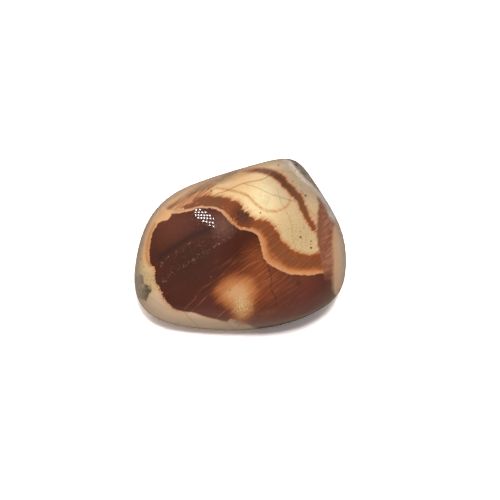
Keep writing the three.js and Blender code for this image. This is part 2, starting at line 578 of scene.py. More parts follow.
class Patch(Enum):
    """Round patches of the face where a colour gathers, a few of them painted light or shade: right, up
    and radius, in mm.
    """

    RIM_SMEAR = (-0.9, 4.3, 2.6)
    FRAYED_EDGE = (-15.0, -8.0, 7.0)
    CREAM_HEART = (4.4, 9.0, 6.5)
    CREAM_FOOT = (10.8, 1.2, 9.0)
    CREAM_TOP = (-0.3, 12.7, 6.0)
    BEIGE_TOP = (12.0, 13.5, 11.0)
    CRESCENT_FOOT = (13.2, 4.5, 3.0)
    CREAM_FRECKLES = (10.5, 2.0, 6.0)
    LEFT_MARGIN = (-17.0, -6.5, 4.5)
    LEFT_FRECKLES = (-16.5, -8.0, 7.0)
    CRESCENT_TOP = (6.5, 11.0, 6.0)
    CRESCENT_TIP = (13.0, 3.0, 3.5)
    RIM_DARK = (-0.9, 4.0, 3.0)
    WAVE_BEND = (0.6, 5.4, 3.2)
    WAVE_CREST = (-4.5, 8.2, 3.4)
    WAVE_GRIT = (0.2, 5.0, 3.0)
    # Painted reflection: the lighter red on the upper left of the body, above the painted shade line.
    UPPER_LEFT_SHEEN = (-12.5, 4.2, 7.5)
    BODY_TOP = (-3.0, 5.2, 5.0)
    BODY_MIDDLE = (0.5, -1.0, 7.0)
    # Painted highlight: the soft grey glow beside the lamp's sparks on the body.
    PAINTED_LAMP_GLOW = (-3.4, 3.3, 3.4)
    # The lower body is painted plum: its own brown lifted by a painted reflection of the pale floor,
    # right and left.
    LOW_RIGHT_SHEEN = (12.5, -12.5, 12.0)
    LOW_LEFT_SHEEN = (-6.0, -13.0, 6.0)
    WARM_LOW = (3.2, -7.2, 7.5)
    WARM_HIGH = (3.4, -2.0, 4.5)
    WARM_RIGHT = (10.5, -6.0, 5.0)
    LIT_HAIRS = (1.0, -7.5, 11.0)
    LIT_THREADS = (3.0, -7.0, 11.0)
    # Painted shade: the darker body below that dark edge.
    BODY_SHADE = (-9.0, -2.5, 7.0)
    DARK_DOT = (10.4, -7.0, 0.8)
    SPOT_HEART = (-0.4, -9.0, 4.2)
    SPOT_CRYSTALS = (0.3, -11.2, 2.8)


@dataclass(frozen=True)
class Figure:
    """Lays the figure through the stone: as drawn where the viewer sees it, and drifting behind that."""

    viewpoint: Viewpoint
    drift_from: float = -2.6
    twist: float = 2.4
    drift_right: float = 0.25
    drift_up: float = -0.16
    waver: float = 1.1
    waver_depth: float = 7.0
    waver_right: Point = (0.7, 0.45)
    waver_up: Point = (0.6, -0.5)
    waver_offset: float = 1.0
    line_reach: float = 2.5

    def places(self, points: Array) -> Array:
        """Finds the place in the figure that each point of the stone takes its colour from.

        Args:
            points: places in mm from the stone's centre, one a row.

        Returns:
            Right, up and towards the viewer in mm. Deeper than drift_from, the first two twist and drift.
        """
        seen = self.viewpoint.on_face(points)
        depth = np.maximum(self.drift_from - seen[:, 2], 0.0)
        angle = np.radians(self.twist) * depth
        right, up = seen[:, 0], seen[:, 1]
        turned_right = right * np.cos(angle) - up * np.sin(angle) + self.drift_right * depth
        turned_up = right * np.sin(angle) + up * np.cos(angle) + self.drift_up * depth
        sway = self.waver * np.minimum(depth / self.waver_depth, 1.0)
        by_up, by_depth = self.waver_right
        turned_right = turned_right + sway * np.sin(by_up * up + by_depth * depth)
        by_right, by_depth = self.waver_up
        turned_up = turned_up + sway * np.sin(by_right * right + by_depth * depth + self.waver_offset)
        return np.stack([turned_right, turned_up, seen[:, 2]], 1)

    def line_field(self, curves: tuple[Curve, ...], places: Array) -> tuple[Array, Array]:
        """Measures a group of lines.

        Args:
            curves: the lines of one colour.
            places: right and up in mm, one row a point.

        Returns:
            Offset right and up to the nearest line with its length, and that line's strength.
        """
        field = np.full((len(places), 3), self.line_reach)
        strength = np.zeros(len(places))
        for curve in curves:
            line = curve.trace()
            low = line.min(0) - self.line_reach
            high = line.max(0) + self.line_reach
            rows = np.nonzero(((places > low) & (places < high)).all(1))[0]
            offset, length = curve.nearest(places[rows])
            closer = length < field[rows, 2]
            rows = rows[closer]
            field[rows] = np.column_stack([offset[closer], length[closer]])
            strength[rows] = curve.strength
        return field, strength

    def spot_field(self, spots: tuple[tuple[float, float, float], ...], places: Array) -> Array:
        """Returns the offset right and up to the nearest spot, and its radius, one row a point."""
        centres = np.array(spots)
        field = np.full((len(places), 3), self.line_reach)
        best = np.full(len(places), np.inf)
        for right, up, radius in centres:
            offset = np.array([right, up]) - places
            length = np.einsum("ij,ij->i", offset, offset)
            closer = length < best
            best[closer] = length[closer]
            field[closer, :2] = offset[closer]
            field[closer, 2] = radius
        return field

    def write(self, mesh: bpy.types.Mesh, points: Array) -> None:
        """Stores the figure's places, areas and lines as attributes of a mesh.

        Args:
            mesh: the stone's mesh.
            points: its vertices in mm from the stone's centre.
        """
        places = self.places(points)
        flat = places[:, :2]
        self._store(mesh, "figure", places)
        for region in Region:
            self._store(mesh, region.name.lower(), region.value.depth_inside(flat))
        for lines in Lines:
            field, strength = self.line_field(lines.value, flat)
            self._store(mesh, lines.name.lower(), field)
            self._store(mesh, lines.name.lower() + "_strength", strength)
        for spots in Spots:
            self._store(mesh, spots.name.lower() + "_spots", self.spot_field(spots.value, flat))

    @staticmethod
    def _store(mesh: bpy.types.Mesh, name: str, values: Array) -> None:
        """Stores one number or one vector a vertex as a named attribute."""
        is_vector = values.ndim == 2
        attribute = mesh.attributes.new(name, "FLOAT_VECTOR" if is_vector else "FLOAT", "POINT")
        attribute.data.foreach_set("vector" if is_vector else "value", values.astype(np.float32).ravel())


class Wire:
    """A number, colour or vector on its way from a node's output to other nodes."""

    def __init__(self, sheet: "NodeSheet", socket: bpy.types.NodeSocket) -> None:
        """Keeps the sheet of nodes and the output socket."""
        self.sheet = sheet
        self.socket = socket

    def _maths(self, operation: str, first: object, second: object | None = None) -> "Wire":
        """Returns the result of a Math node on one or two values."""
        values = [first] if second is None else [first, second]
        return self.sheet.add("ShaderNodeMath", {"operation": operation}, dict(enumerate(values)))

    def __add__(self, other: object) -> "Wire":
        """Returns self + other."""
        return self._maths("ADD", self, other)

    def __radd__(self, other: object) -> "Wire":
        """Returns other + self."""
        return self._maths("ADD", other, self)

    def __sub__(self, other: object) -> "Wire":
        """Returns self - other."""
        return self._maths("SUBTRACT", self, other)

    def __rsub__(self, other: object) -> "Wire":
        """Returns other - self."""
        return self._maths("SUBTRACT", other, self)

    def __mul__(self, other: object) -> "Wire":
        """Returns self * other."""
        return self._maths("MULTIPLY", self, other)

    def __rmul__(self, other: object) -> "Wire":
        """Returns other * self."""
        return self._maths("MULTIPLY", other, self)

    def __truediv__(self, other: object) -> "Wire":
        """Returns self / other."""
        return self._maths("DIVIDE", self, other)

    def __pow__(self, other: object) -> "Wire":
        """Returns self to the power of other."""
        return self._maths("POWER", self, other)

    def __abs__(self) -> "Wire":
        """Returns the value without its sign."""
        return self._maths("ABSOLUTE", self)

    def most(self, other: object) -> "Wire":
        """Returns the larger of self and other."""
        return self._maths("MAXIMUM", self, other)

    def least(self, other: object) -> "Wire":
        """Returns the smaller of self and other."""
        return self._maths("MINIMUM", self, other)

    def smooth(self, low: float, high: float) -> "Wire":
        """Returns 0 at low and 1 at high, with a smooth step between; low may be the larger."""
        settings = {"interpolation_type": "SMOOTHSTEP"}
        inputs = {"Value": self, "From Min": low, "From Max": high}
        return self.sheet.add("ShaderNodeMapRange", settings, inputs)


class NodeSheet:
    """The nodes of one material."""

    def __init__(self, tree: bpy.types.NodeTree) -> None:
        """Empties the tree and keeps it."""
        self.tree = tree
        tree.nodes.clear()

    def add(
        self,
        kind: str,
        settings: dict[str, object] | None = None,
        inputs: dict[str | int, object] | None = None,
        output: str | int = 0,
    ) -> Wire:
        """Adds a node.

        Args:
            kind: the node's type.
            settings: its properties, set before its sockets.
            inputs: a value or a wire for each socket that is named or numbered.
            output: the output socket to return.

        Returns:
            The wire from that output; a node that has none gives its first input.
        """
        node = self.tree.nodes.new(kind)
        for name, value in (settings or {}).items():
            setattr(node, name, value)
        for key, value in (inputs or {}).items():
            if isinstance(value, Wire):
                self.tree.links.new(value.socket, node.inputs[key])
            else:
                node.inputs[key].default_value = value
        return Wire(self, node.outputs[output]) if node.outputs else Wire(self, node.inputs[0])

    def mix(self, first: object, second: object, share: object) -> Wire:
        """Returns a colour between two: the first where share is 0, the second where it is 1."""
        return self.add("ShaderNodeMix", {"data_type": "RGBA"}, {0: share, 6: first, 7: second}, 2)

    def vector(self, x: object, y: object, z: object) -> Wire:
        """Returns a vector of three values."""
        return self.add("ShaderNodeCombineXYZ", {}, {0: x, 1: y, 2: z})

    def parts(self, vector: Wire) -> tuple[Wire, Wire, Wire]:
        """Returns the three values of a vector."""
        first = self.add("ShaderNodeSeparateXYZ", {}, {0: vector})
        outputs = first.socket.node.outputs
        return first, Wire(self, outputs[1]), Wire(self, outputs[2])

    def number(self, name: str) -> Wire:
        """Returns a number stored on the mesh."""
        settings = {"attribute_type": "GEOMETRY", "attribute_name": name}
        return self.add("ShaderNodeAttribute", settings, {}, "Fac")

    def stored_vector(self, name: str) -> Wire:
        """Returns a vector stored on the mesh."""
        settings = {"attribute_type": "GEOMETRY", "attribute_name": name}
        return self.add("ShaderNodeAttribute", settings, {}, "Vector")

    def noise(self, vector: Wire, scale: float, detail: float, roughness: float) -> Wire:
        """Returns cloudy noise around 0.5."""
        inputs = {"Vector": vector, "Scale": scale, "Detail": detail, "Roughness": roughness}
        return self.add("ShaderNodeTexNoise", {"noise_dimensions": "3D"}, inputs, 0)


def new_material(name: str) -> tuple[bpy.types.Material, NodeSheet]:
    """Returns a new material and its empty sheet of nodes."""
    material = bpy.data.materials.new(name)
    material.use_nodes = True
    return material, NodeSheet(material.node_tree)


def new_object(name: str, data: bpy.types.ID) -> bpy.types.Object:
    """Returns a new object that shows the data in the scene, at the origin."""
    thing = bpy.data.objects.new(name, data)
    bpy.context.scene.collection.objects.link(thing)
    return thing


def colour(red: int, green: int, blue: int) -> Tone:
    """Turns a colour as it looks in the studio's light into the linear colour that a shader takes.

    Args:
        red: how much red a screen shows, 0 to 255.
        green: how much green.
        blue: how much blue.

    Returns:
        Red, green, blue and opacity, 0 to 1.
    """
    shares = [value / 255.0 for value in (red, green, blue)]
    linear = [s / 12.92 if s <= 0.04045 else ((s + 0.055) / 1.055) ** 2.4 for s in shares]
    return (*(value / STUDIO_LIGHT for value in linear), 1.0)


@dataclass(frozen=True)
class JasperColours:
    """The colours of the stone."""

    cream: Tone = colour(236, 201, 148)
    bright_cream: Tone = colour(255, 234, 182)
    green_cream: Tone = colour(202, 174, 127)
    tan_cream: Tone = colour(232, 182, 128)
    beige: Tone = colour(186, 162, 133)
    right_beige: Tone = colour(206, 173, 143)
    low_beige: Tone = colour(216, 184, 150)
    pink_tan: Tone = colour(206, 160, 122)
    strip: Tone = colour(255, 206, 154)
    # Painted highlight: the near-white sheen along the ridge by the grey corner.
    painted_highlight_white: Tone = colour(240, 230, 222)
    orange: Tone = colour(198, 136, 82)
    peach: Tone = colour(210, 150, 106)
    amber: Tone = colour(196, 126, 76)
    rust: Tone = colour(142, 71, 35)
    red_brown: Tone = colour(134, 80, 56)
    chocolate: Tone = colour(122, 76, 46)
    smoky: Tone = colour(78, 50, 40)
    body: Tone = colour(80, 40, 28)
    body_red: Tone = colour(105, 57, 42)
    body_warm: Tone = colour(72, 28, 12)
    plum_and_floor_sheen: Tone = colour(100, 53, 44)
    # Partly painted reflection: the body's brown lifted by the pale floor it mirrors low down.
    body_low: Tone = colour(128, 66, 50)
    # Painted highlight: the grey of the soft glow beside the lamp's sparks.
    painted_glow_grey: Tone = colour(118, 82, 68)
    # Dark brown of the body, and also the colour of the painted shade on its upper left.
    body_shade: Tone = colour(60, 37, 31)
    pink_brown: Tone = colour(168, 112, 86)
    streak: Tone = colour(188, 118, 78)
    spot: Tone = colour(204, 154, 106)
    spot_green: Tone = colour(210, 188, 132)
    crack: Tone = colour(140, 112, 72)
    speck: Tone = colour(60, 42, 26)
    fleck: Tone = colour(136, 106, 90)
    quartz: Tone = colour(164, 142, 116)
    quartz_dark: Tone = colour(98, 84, 58)
    # Painted reflection: the dark grey of the shadowed floor, mirrored in the upper right facet.
    corner: Tone = colour(88, 76, 70)


@dataclass(frozen=True)
class Flow:
    """Noise drawn out along the flow of the stone: its repeats a mm each way, and its finer layers."""

    along: float
    across: float
    depth: float
    detail: float
    roughness: float = 0.6


@dataclass(frozen=True)
class Speckle:
    """Noise that is the same every way: its repeats a mm, and its finer layers."""

    scale: float
    detail: float
    roughness: float = 0.5


@dataclass(frozen=True)
class JasperFinish:
    """The polished stone: its figure in colour, its gloss and its hair-thin relief, in metres."""

    colours: JasperColours = JasperColours()
    flow_angle: float = 38.0
    feather: Flow = Flow(0.3, 1.9, 0.3, 3.0)
    hair: Flow = Flow(0.16, 5.0, 0.5, 3.0)
    brush: Flow = Flow(0.1, 1.3, 0.3, 2.0)
    vein: Flow = Flow(0.07, 0.3, 0.16, 5.0)
    ribbon: Flow = Flow(0.1, 0.42, 0.22, 4.0)
    thread: Flow = Flow(0.06, 0.9, 0.3, 1.5)
    ribbon_width: float = 0.05
    thread_width: float = 0.022
    cloud: Speckle = Speckle(0.28, 3.0)
    mottle: Speckle = Speckle(1.3, 4.0, 0.6)
    grain: Speckle = Speckle(6.5, 2.0)
    grit: Speckle = Speckle(3.0, 3.0, 0.65)
    freckle: Speckle = Speckle(3.8, 0.0)
    roughness: float = 0.03
    haze: float = 0.12
    haze_roughness: float = 0.28
    refraction: float = 1.54
    crack_depth: float = 0.00003
    crack_strength: float = 0.4

    def make(self) -> bpy.types.Material:
        """Returns the stone's material."""
        material, sheet = new_material("polished_jasper")
        FigurePainter(sheet, self).paint()
        return material


class FigurePainter:
    """Paints the figure, one area over another, from the places and lines stored on the mesh."""

    def __init__(self, sheet: NodeSheet, finish: JasperFinish) -> None:
        """Reads the stored figure and makes the noises and edges that its areas share."""
        self.sheet = sheet
        self.finish = finish
        self.colours = finish.colours
        self.figure = sheet.stored_vector("figure")
        self.right, self.up, self.depth = sheet.parts(self.figure)
        turn = math.radians(finish.flow_angle)
        self.along = self.right * math.cos(turn) + self.up * math.sin(turn)
        self.across = self.up * math.cos(turn) - self.right * math.sin(turn)
        self.face = sheet.vector(self.right, self.up, 0.0)
        self.feather = self.flow_noise(finish.feather)
        self.hair = self.flow_noise(finish.hair)
        self.brush = self.flow_noise(finish.brush)
        self.vein = self.flow_noise(finish.vein)
        self.ribbon = abs(self.flow_noise(finish.ribbon) - 0.5).smooth(finish.ribbon_width, 0.0)
        self.thread = abs(self.flow_noise(finish.thread) - 0.5).smooth(finish.thread_width, 0.0)
        self.cloud = self.even_noise(finish.cloud)
        self.mottle = self.even_noise(finish.mottle)
        self.grain = self.even_noise(finish.grain)
        self.grit = self.even_noise(finish.grit)
        self.freckle = self.even_noise(finish.freckle)
        smear = self.near(Patch.RIM_SMEAR) * (self.grit * 2.6 + self.mottle * 1.4 - 1.9)
        upper_left = self.right.smooth(-12.5, -10.5) * self.right.smooth(-0.5, -3.0)
        self.body_depth = sheet.number("body") - upper_left * self.up.smooth(3.5, 5.0) * 0.22
        thinner = self.right.smooth(0.0, -5.0) * self.right.smooth(-13.0, -11.0) * 0.12
        self.rim_depth = sheet.number("rim") - thinner + smear
        frayed = self.near(Patch.FRAYED_EDGE)
        worn = (self.mottle - 0.5) * (0.3 + frayed * 1.2) + (self.grit - 0.5) * (0.3 + frayed * 1.6)
        ragged = (self.feather - 0.5) * 0.4 + (self.hair - 0.5) * 0.2 + worn
        self.on_body = (self.body_depth + ragged).smooth(-0.1, 0.1)

    def flow_noise(self, flow: Flow) -> Wire:
        """Returns noise drawn out along the flow of the stone."""
        along, across = self.along * flow.along, self.across * flow.across
        vector = self.sheet.vector(along, across, self.depth * flow.depth)
        return self.sheet.noise(vector, 1.0, flow.detail, flow.roughness)

    def even_noise(self, speckle: Speckle) -> Wire:
        """Returns noise that is the same every way."""
        return self.sheet.noise(self.figure, speckle.scale, speckle.detail, speckle.roughness)

    def near(self, patch: Patch) -> Wire:
        """Returns 1 in the middle of a patch, falling smoothly to 0 at its edge."""
        right, up, radius = patch.value
        settings = {"operation": "DISTANCE"}
        inputs = {0: self.face, 1: (right, up, 0.0)}
        return self.sheet.add("ShaderNodeVectorMath", settings, inputs, "Value").smooth(radius, 0.0)

    def line(self, lines: Lines, width: float, soft: float) -> Wire:
        """Returns how much a point lies on a group of lines.

        Args:
            lines: the group.
            width: the full width of the line in mm.
            soft: how far each edge fades, in mm.
        """
        name = lines.name.lower()
        right, up, length = self.sheet.parts(self.sheet.stored_vector(name))
        distance = ((right * right + up * up) ** 0.5).most(length - OFFSET_SLACK)
        on_line = distance.smooth(width / 2.0 + soft, width / 2.0 - soft / 2.0)
        return on_line * self.sheet.number(name + "_strength")

    def spots(self, spots: Spots, soft: float) -> Wire:
        """Returns how much a point lies on a group of small spots, whose edges fade over soft mm."""
        right, up, radius = self.sheet.parts(self.sheet.stored_vector(spots.name.lower() + "_spots"))
        return ((right * right + up * up) ** 0.5 - radius).smooth(soft, -soft)

    def over(self, ground: Tone | Wire, *coats: tuple[Tone | Wire, Wire]) -> Wire:
        """Lays coats of colour over a ground, one after another.

        Args:
            ground: the colour beneath.
            coats: each coat's colour, and how much of it shows, 0 to 1.

        Returns:
            The colour on top.
        """
        for tone, share in coats:
            ground = self.sheet.mix(ground, tone, share)
        return ground

    def paint(self) -> None:
        """Wires the whole material."""
        layers = (
            self.margins,
            self.strip,
            self.veins,
            self.ring,
            self.crescent,
            self.rim,
            self.wave,
            self.body,
            self.spot,
            self.right_side,
            self.corner,
        )
        paint = self.cream()
        for layer in layers:
            paint = layer(paint)
        paint, relief = self.cracks(paint)
        self.shade(paint, relief)

    def cream(self) -> Wire:
        """Paints the pale ground of the whole stone."""
        c = self.colours
        freckled = self.freckle.smooth(0.6, 0.7) * (0.12 + self.near(Patch.CREAM_FRECKLES) * 0.3)
        return self.over(
            c.cream,
            (c.bright_cream, self.near(Patch.CREAM_HEART)),
            (c.green_cream, self.near(Patch.CREAM_FOOT)),
            (c.tan_cream, self.near(Patch.CREAM_TOP) * 0.9),
            (c.beige, (self.near(Patch.BEIGE_TOP) * 1.5).least(1.0)),
            (c.pink_tan, self.near(Patch.CRESCENT_FOOT) * 0.8),
            (c.green_cream, self.cloud.smooth(0.5, 0.72) * 0.4),
            (c.tan_cream, self.mottle.smooth(0.5, 0.75) * 0.4),
            (c.crack, freckled),
        )

    def margins(self, paint: Wire) -> Wire:
        """Paints the pale margins left of the body and below it, and the grey quartz in them."""
        c = self.colours
        specked = self.near(Patch.LEFT_FRECKLES) * self.freckle.smooth(0.58, 0.66)
        halo = (self.body_depth + (self.mottle - 0.5) * 0.8).smooth(-0.9, 0.2)
        end = self.right.smooth(-16.5, -18.5)
        quartz = self.sheet.number("quartz") + (self.mottle - 0.5) * 0.7 + (self.grit - 0.5) * 0.6 + 0.15
        darker = (self.right + self.mottle * 2.4 + self.grit * 1.6).smooth(-16.6, -14.6)
        quartz_tone = self.over(
            c.quartz,
            (c.quartz_dark, darker),
            (c.low_beige, self.feather.smooth(0.52, 0.66) * 0.5),
        )
        return self.over(
            paint,
            (c.tan_cream, self.right.smooth(-13.0, -16.0) * self.up.smooth(-5.0, -2.0)),
            (c.green_cream, self.near(Patch.LEFT_MARGIN) * 0.8),
            (c.crack, specked * 0.5),
            (c.amber, self.line(Lines.LEFT, 0.3, 0.35) * 0.8),
            (c.low_beige, (self.up + self.right * 0.18).smooth(-10.0, -12.5)),
            (c.amber, halo * self.up.smooth(3.0, 0.0) * self.right.smooth(-8.0, -13.0) * 0.7),
            (c.pink_tan, self.ribbon.most(self.thread * 0.7) * end * 0.6),
            (c.green_cream, self.vein.smooth(0.52, 0.4) * end * 0.5),
            (quartz_tone, quartz.smooth(-0.08, 0.1)),
        )

    def strip(self, paint: Wire) -> Wire:
        """Paints the tan strip and its red streak along the upper left."""
        c = self.colours
        outer = (self.up - self.right * 0.62 - 14.9).smooth(-1.6, 0.4)
        slope = outer * self.depth.smooth(0.5, -3.5)
        inner = self.line(Lines.STRIP_INNER, 0.9, 0.8)
        streak = self.line(Lines.STRIP, 0.4, 0.9)
        return self.over(
            paint,
            (c.strip, outer),
            (c.pink_tan, self.feather.smooth(0.35, 0.7) * outer * 0.35),
            (c.green_cream, self.vein.smooth(0.52, 0.36) * slope * 0.6),
            (c.orange, self.ribbon * slope * 0.5),
            (c.amber, self.thread * slope * 0.4),
            (c.amber, inner * self.hair.smooth(0.25, 0.6) * 0.9),
            (c.rust, inner * self.feather.smooth(0.42, 0.58) * 0.65),
            (c.red_brown, streak * self.hair.smooth(0.2, 0.55) * 0.9),
        )

    def veins(self, paint: Wire) -> Wire:
        """Paints the veins and clouds that colour the back and the ends."""
        c = self.colours
        behind = self.depth.smooth(-2.6, -6.5)
        return self.over(
            paint,
            (c.tan_cream, self.vein.smooth(0.4, 0.52) * behind * 0.8),
            (c.green_cream, self.vein.smooth(0.45, 0.35) * behind * 0.7),
            (c.pink_tan, self.feather.smooth(0.46, 0.62) * behind * 0.5),
            (c.orange, self.ribbon * behind * 0.5),
            (c.amber, self.thread * behind * 0.4),
            (c.amber, self.vein.smooth(0.5, 0.57) * behind * 0.8),
            (c.rust, self.vein.smooth(0.55, 0.63) * behind * 0.85),
            (c.chocolate, self.vein.smooth(0.62, 0.72) * behind * 0.7),
            (c.crack, self.freckle.smooth(0.6, 0.7) * behind * 0.3),
        )

    def ring(self, paint: Wire) -> Wire:
        """Paints the orange ring in the cream."""
        faded = (self.mottle + self.feather * 0.6).smooth(0.45, 0.95)
        return self.over(paint, (self.colours.orange, self.line(Lines.RING, 0.2, 0.42) * faded))

    def crescent(self, paint: Wire) -> Wire:
        """Paints the dark crescent to the right of the cream."""
        c = self.colours
        depth = self.sheet.number("crescent")
        brushed = (self.feather - 0.5) * 1.1 + (self.hair - 0.5) * 1.2
        band = (depth + brushed * self.across.smooth(7.0, 0.0)).smooth(-0.4, 0.1)
        tone = self.over(
            c.streak,
            (c.chocolate, (depth + brushed * 0.6).smooth(-0.15, 0.2)),
            (c.smoky, self.near(Patch.CRESCENT_TOP) * (depth + brushed).smooth(0.0, 0.6) * 0.7),
            (c.rust, self.near(Patch.CRESCENT_TIP) * 0.8),
        )
        return self.over(
            paint,
            (c.orange, (depth + brushed).smooth(-0.8, 0.1) * 0.3),
            (tone, band * self.right.smooth(-1.5, 3.5)),
        )

    def rim(self, paint: Wire) -> Wire:
        """Paints the pale rim along the top of the body."""
        c = self.colours
        wider = self.right.smooth(1.5, 4.5) * 1.2
        ragged = (self.feather - 0.5) * self.right.smooth(-5.0, -1.0) * 0.6
        rim = (self.rim_depth + ragged + wider).smooth(-0.15, 0.1)
        lightness = (self.body_depth + (self.feather - 0.5) * 0.7).smooth(-0.8, -0.1)
        tone = self.over(
            c.rust,
            (c.amber, (self.body_depth + (self.hair - 0.5)).smooth(-1.7, -0.6)),
            (c.peach, lightness.most(self.right.smooth(-2.0, -8.0) * 0.6) * 0.9),
            (c.amber, self.mottle.smooth(0.45, 0.65) * 0.6),
            (c.low_beige, self.right.smooth(-1.0, -3.5) * lightness * 0.4),
            (c.tan_cream, self.right.smooth(-11.5, -13.0) * 0.8),
            (c.chocolate, self.near(Patch.RIM_DARK) * self.grit.smooth(0.53, 0.42) * 0.8),
        )
        return self.over(paint, (tone, rim))

    def wave(self, paint: Wire) -> Wire:
        """Paints the brown wave above the rim, with its feathery upper edge."""
        c = self.colours
        elsewhere = self.right.smooth(0.0, 1.0) + self.right.smooth(-10.0, -11.5)
        stored_rim = self.sheet.number("rim")
        joined = stored_rim.most(0.6 - abs(stored_rim)) - elsewhere * 9.0
        depth = self.sheet.number("wave").most(joined)
        brushed = (self.feather - 0.5) * 1.2 + (self.hair - 0.5) * 1.1
        outside = self.rim_depth.smooth(0.0, -0.4)
        upper = (depth + brushed).smooth(-0.2, 0.25)
        edge = self.rim_depth + (self.feather - 0.5) * self.right.smooth(-5.0, -1.0) * 0.7 - 0.12
        fading = (edge + (self.hair - 0.5) * 1.2).smooth(0.3, -1.0)
        lower = self.sheet.mix(edge.smooth(0.12, -0.12), fading, self.right.smooth(1.5, 4.5))
        streaked = self.hair.smooth(0.5, 0.8).most(self.thread * 0.7) * self.right.smooth(1.0, 5.0)
        tone = self.over(
            c.rust,
            (c.red_brown, self.right.smooth(0.0, -6.0)),
            (c.chocolate, (depth + brushed * 0.5).smooth(0.3, 1.6) * 0.65),
            (c.smoky, self.near(Patch.WAVE_BEND) * 0.8),
            (c.chocolate, self.near(Patch.WAVE_CREST) * 0.6),
            (c.amber, streaked * 0.3),
            (c.smoky, self.hair.smooth(0.5, 0.3) * self.right.smooth(1.0, 5.0) * 0.5),
            (c.body_shade, self.grit.smooth(0.55, 0.4) * self.near(Patch.WAVE_GRIT) * 0.7),
        )
        return self.over(
            paint,
            (c.amber, (depth + brushed).smooth(-0.9, 0.1) * outside * 0.7),
            (tone, upper * lower),
        )

    def body(self, paint: Wire) -> Wire:
        """Paints the dark body that fills most of the face."""
        c = self.colours
        warm = self.near(Patch.WARM_LOW) + self.near(Patch.WARM_HIGH) * 0.7
        warm = warm + self.near(Patch.WARM_RIGHT) * 0.3
        warm = (warm * (0.3 + self.brush * 0.7 + self.hair * 0.5)).least(1.0)
        lit = self.near(Patch.LIT_HAIRS)
        threaded = self.thread * (self.near(Patch.LIT_THREADS) * 1.4).least(1.0)
        streaked = self.line(Lines.STREAKS, 0.06, 0.11) * self.feather.smooth(0.25, 0.6)
        # painted shade: the dark edge of the upper left reflection and the darker body below it
        shaded = (self.near(Patch.BODY_SHADE) * 0.5).most(self.line(Lines.SHADE, 0.4, 1.1))
        flecked = self.line(Lines.FLECKS, 0.8, 1.0) * self.brush.smooth(0.3, 0.5)
        foot = self.up.smooth(-9.0, -12.0) * self.right.smooth(4.0, 2.0)
        tone = self.over(
            c.body,
            # painted reflection: lighter red on the upper left of the body
            (c.body_red, self.near(Patch.UPPER_LEFT_SHEEN)),
            (c.body_red, self.near(Patch.BODY_TOP) * 0.7),
            (c.body_warm, self.near(Patch.BODY_MIDDLE) * 0.9),
            # painted highlight: a soft grey glow beside the lamp's sparks
            (c.painted_glow_grey, self.near(Patch.PAINTED_LAMP_GLOW) * 0.7),
            # painted reflection of the pale floor: plum over the lower right and lower left of the body
            (c.plum_and_floor_sheen, self.near(Patch.LOW_RIGHT_SHEEN)),
            (c.plum_and_floor_sheen, self.near(Patch.LOW_LEFT_SHEEN) * 0.8),
            (c.body_low, self.up.smooth(-11.0, -15.0) * 0.8),
            (c.body_red, self.cloud.smooth(0.45, 0.7) * self.depth.smooth(3.0, -1.0) * 0.8),
            (c.rust, warm * 0.85),
            (c.streak, self.hair.smooth(0.54, 0.78) * lit.most(0.15) * 0.5),
            (c.body_shade, self.hair.smooth(0.46, 0.26) * lit.most(0.4) * 0.5),
            (c.streak, threaded * 0.25),
            (c.streak, streaked * 0.6),
            # painted shade on the upper left of the body
            (c.body_shade, shaded),
            (c.fleck, self.freckle.smooth(0.62, 0.74) * flecked * 0.45),
            (c.body_shade, self.near(Patch.DARK_DOT) * 0.6),
            (c.fleck, self.spots(Spots.PALE, 0.08) * 0.6),
            (c.peach, self.body_depth.smooth(0.25, 0.0) * foot * 0.7),
        )
        return self.over(paint, (tone, self.on_body))

    def spot(self, paint: Wire) -> Wire:
        """Paints the pale spot low in the body."""
        c = self.colours
        depth = self.sheet.number("spot") + (self.feather - 0.5) * 1.8 + (self.hair - 0.5) * 1.8
        core = depth + (self.mottle - 0.5) * 1.6 + (self.grit - 0.5) * 1.2
        core = core + self.near(Patch.SPOT_HEART) * 1.1
        crystals = (self.grain * 0.6 + self.grit * 0.6).smooth(0.54, 0.7)
        return self.over(
            paint,
            (c.rust, depth.smooth(-2.4, -0.4) * 0.8),
            (c.amber, depth.smooth(-1.6, 0.5) * 0.85),
            (c.spot, core.smooth(0.4, 2.6)),
            (c.spot_green, self.near(Patch.SPOT_CRYSTALS) * crystals),
        )

    def right_side(self, paint: Wire) -> Wire:
        """Paints the red band, the tan strip and the grey margin down the right."""
        c = self.colours
        brushed = (self.feather - 0.5) * 0.9 + (self.hair - 0.5) * 0.5
        band = self.sheet.number("right_band") + self.right.smooth(14.6, 15.6) * 0.8 + brushed
        pinker = (self.hair * 0.45 + self.feather * 0.55).smooth(0.43, 0.58)
        # the same plum, partly painted reflection of the pale floor, under the red band
        body = self.over(c.body, (c.plum_and_floor_sheen, self.near(Patch.LOW_RIGHT_SHEEN)))
        red = self.over(
            c.red_brown,
            (c.pink_brown, pinker * self.right.smooth(13.9, 15.4)),
            (body, self.up.smooth(-4.5, -7.0)),
        )
        margin = self.sheet.number("right_margin") + (self.feather - 0.5) * 0.7 - 0.4
        hidden = self.depth.smooth(-0.5, -3.0)
        beyond = self.over(
            c.right_beige,
            (c.tan_cream, self.vein.smooth(0.42, 0.58) * hidden),
            (c.amber, self.vein.smooth(0.54, 0.68) * hidden * 0.7),
            (c.beige, self.feather.smooth(0.48, 0.62) * 0.3),
            (c.orange, self.ribbon.most(self.thread) * hidden * 0.4),
        )
        return self.over(
            paint,
            (red, band.smooth(-0.4, 0.3)),
            (c.pink_tan, margin.smooth(-0.4, 0.7)),
            (beyond, margin.smooth(0.7, 1.4)),
        )

